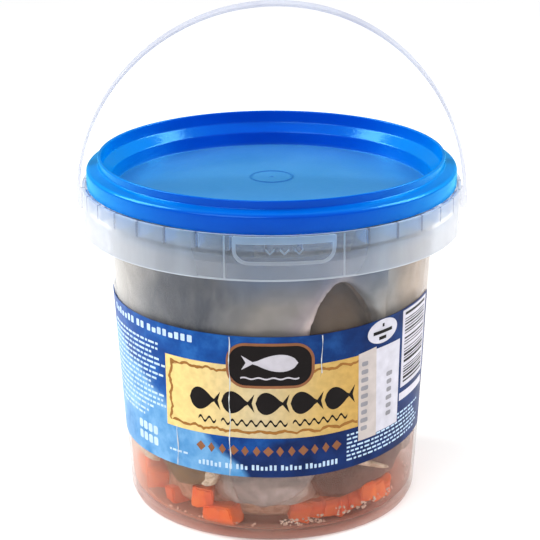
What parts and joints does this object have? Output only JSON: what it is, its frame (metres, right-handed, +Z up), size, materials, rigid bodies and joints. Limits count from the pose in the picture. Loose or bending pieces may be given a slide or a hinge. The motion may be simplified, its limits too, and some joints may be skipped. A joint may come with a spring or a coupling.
{
  "type": "bucket of rollmops",
  "caption": "Clear plastic bucket of rolled pickled herring with gherkin and carrot, press-on blue lid, swinging bail handle and wrap-round label.",
  "frame": {"origin": "on the ground, at the middle of the bucket's base", "axes": "+Z up along the bucket's axis; -Y is the front, with the tear tab and the middle of the label; +X is to the right, along the bail's pivot line"},
  "size_m": [0.1226, 0.119, 0.1588],
  "materials": {
    "clear_plastic": "clear, slightly milky moulded polypropylene, smooth and shiny",
    "blue_plastic": "bright blue moulded polypropylene with a satin shine",
    "label_paper": "printed film label, mostly blue with a cream panel, lightly creased",
    "herring": "wet silver-grey and cream fish, olive gherkin and orange carrot in a pinkish-brown marinade",
    "milky_plastic": "thin milky-white polypropylene strip"
  },
  "bodies": {
    "bucket": {"bucket": "clear_plastic", "lid": "blue_plastic", "label": "label_paper", "rollmops": "herring"},
    "handle": {"handle": "milky_plastic"}
  },
  "joints": [
    {"name": "handle_swing", "type": "hinge", "parent": "bucket", "child": "handle", "pos_m": [0, 0, 0.0968], "axis": [1, 0, 0], "range_deg": [-112, 112]}
  ]
}
